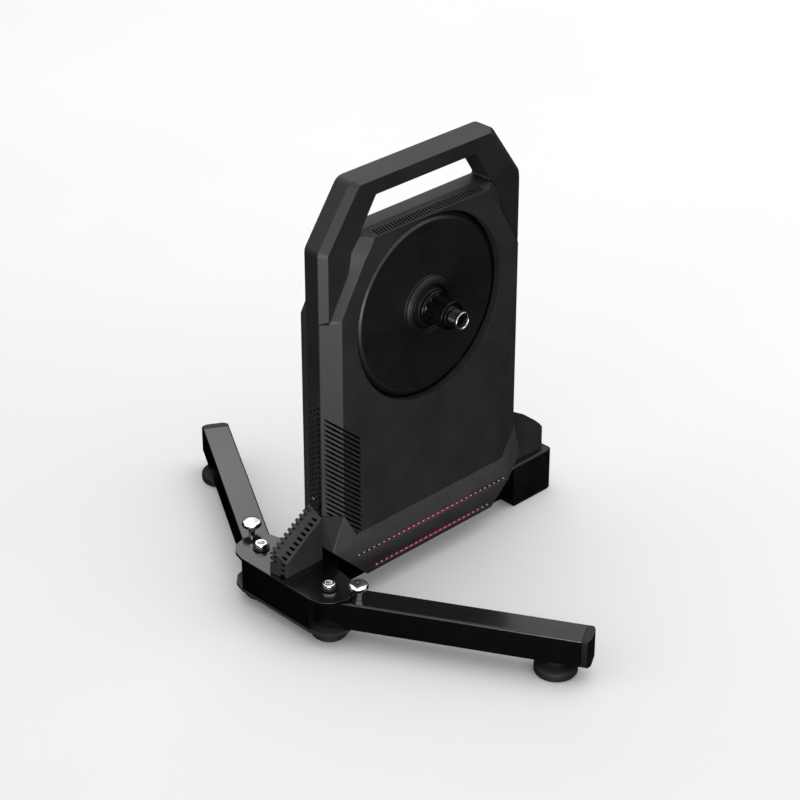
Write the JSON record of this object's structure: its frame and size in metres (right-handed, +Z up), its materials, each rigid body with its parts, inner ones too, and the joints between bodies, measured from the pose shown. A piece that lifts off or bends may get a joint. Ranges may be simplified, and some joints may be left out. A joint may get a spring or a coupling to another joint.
{
  "type": "direct drive bike trainer",
  "caption": "Direct drive bicycle trainer: upright slab with carrying handle, recessed rotor, splined freewheel body and lit skirt on a spine base with folding legs.",
  "frame": {"origin": "middle of the bounding box in plan, on the floor, straight under the axle line", "axes": "+X along the axle towards the sprocket side, +Y towards the front of the bicycle, +Z up"},
  "size_m": [0.652, 0.4488, 0.5225],
  "materials": {
    "gloss_black_steel": "gloss powder coat on welded and bent steel",
    "soft_black": "moulded nylon, lightly textured",
    "black_rubber": "moulded rubber, matt",
    "chrome_steel": "polished and chromed steel",
    "charcoal_casting": "fine textured powder coat on a die casting",
    "charcoal_moulding": "fine spark-eroded texture, matt",
    "red_lamp": "clear red lamp window",
    "satin_alloy": "turned, satin",
    "bright_steel": "ground and turned",
    "rotor_black": "satin black coat on turned aluminium",
    "copper_winding": "enamelled wire",
    "green_board": "solder masked laminate",
    "black_socket": "moulded black insulator"
  },
  "bodies": {
    "base": {"base_spine": "gloss_black_steel", "rear_channel": "gloss_black_steel", "front_foot": "soft_black", "rear_pad_drive": "black_rubber", "rear_pad_left": "black_rubber", "drive_belt": "black_rubber", "pivot_bolt_drive": "chrome_steel", "pivot_bolt_left": "chrome_steel", "arch_frame": "charcoal_casting", "drive_cover": "charcoal_moulding", "left_cover": "charcoal_moulding", "led_skirt": "charcoal_moulding", "grille_rear": "charcoal_moulding", "grille_front": "charcoal_moulding", "lamp_row_upper": "red_lamp", "lamp_row_lower": "red_lamp", "axle_adapter_drive": "satin_alloy", "axle_adapter_left": "satin_alloy", "axle_tube": "bright_steel", "hub_bearing_back": "bright_steel", "hub_bearing_front": "bright_steel", "freehub_bearing_back": "bright_steel", "freehub_bearing_front": "bright_steel", "shaft_bearing_web": "bright_steel", "shaft_bearing_shell": "bright_steel", "idler_pin": "bright_steel", "magnet_core_upper": "bright_steel", "magnet_core_lower": "bright_steel", "magnet_bracket": "bright_steel", "magnet_coil_upper": "copper_winding", "magnet_coil_lower": "copper_winding", "control_board": "green_board", "power_socket": "black_socket"},
    "drive_leg": {"leg_drive": "gloss_black_steel", "leg_cap_drive": "soft_black"},
    "left_leg": {"leg_left": "gloss_black_steel", "leg_cap_left": "soft_black"},
    "drive_knob": {"lock_knob_drive": "chrome_steel"},
    "left_knob": {"lock_knob_left": "chrome_steel"},
    "drive_foot": {"level_foot_drive": "black_rubber"},
    "left_foot": {"level_foot_left": "black_rubber"},
    "flywheel_group": {"flywheel": "bright_steel", "flywheel_shaft": "bright_steel", "small_pulley": "satin_alloy"},
    "rotor": {"drive_pulley": "rotor_black"},
    "idler": {"idler_roller": "satin_alloy"},
    "freehub": {"freehub_body": "rotor_black"}
  },
  "joints": [
    {"name": "flywheel_spin", "type": "hinge", "parent": "base", "child": "flywheel_group", "pos_m": [0, 0, 0.185], "axis": [1, 0, 0], "continuous": true},
    {"name": "rotor_spin", "type": "hinge", "parent": "base", "child": "rotor", "pos_m": [0, 0, 0.34], "axis": [1, 0, 0], "continuous": true},
    {"name": "idler_spin", "type": "hinge", "parent": "base", "child": "idler", "pos_m": [0, 0.04407, 0.1959], "axis": [1, 0, 0], "continuous": true},
    {"name": "freehub_spin", "type": "hinge", "parent": "rotor", "child": "freehub", "pos_m": [0.045, 0, 0.34], "axis": [1, 0, 0], "continuous": true},
    {"name": "drive_leg_fold", "type": "hinge", "parent": "base", "child": "drive_leg", "pos_m": [0.0575, -0.1895, 0.038], "axis": [0, 0, 1], "range_deg": [0, 58]},
    {"name": "left_leg_fold", "type": "hinge", "parent": "base", "child": "left_leg", "pos_m": [-0.0575, -0.1895, 0.038], "axis": [0, 0, 1], "range_deg": [-58, 0]},
    {"name": "drive_knob_pull", "type": "slide", "parent": "drive_leg", "child": "drive_knob", "axis": [0, 0, 1], "range_m": [0, 0.008], "stiffness_N_per_m": 400, "springref_m": -0.002},
    {"name": "left_knob_pull", "type": "slide", "parent": "left_leg", "child": "left_knob", "axis": [0, 0, 1], "range_m": [0, 0.008], "stiffness_N_per_m": 400, "springref_m": -0.002},
    {"name": "drive_foot_screw", "type": "slide", "parent": "drive_leg", "child": "drive_foot", "axis": [0, 0, -1], "range_m": [0, 0.012]},
    {"name": "left_foot_screw", "type": "slide", "parent": "left_leg", "child": "left_foot", "axis": [0, 0, -1], "range_m": [0, 0.012]}
  ],
  "couplings": [
    {"joint": "rotor_spin", "follows": "flywheel_spin", "ratio": 0.13452},
    {"joint": "idler_spin", "follows": "flywheel_spin", "ratio": -1.3917}
  ]
}
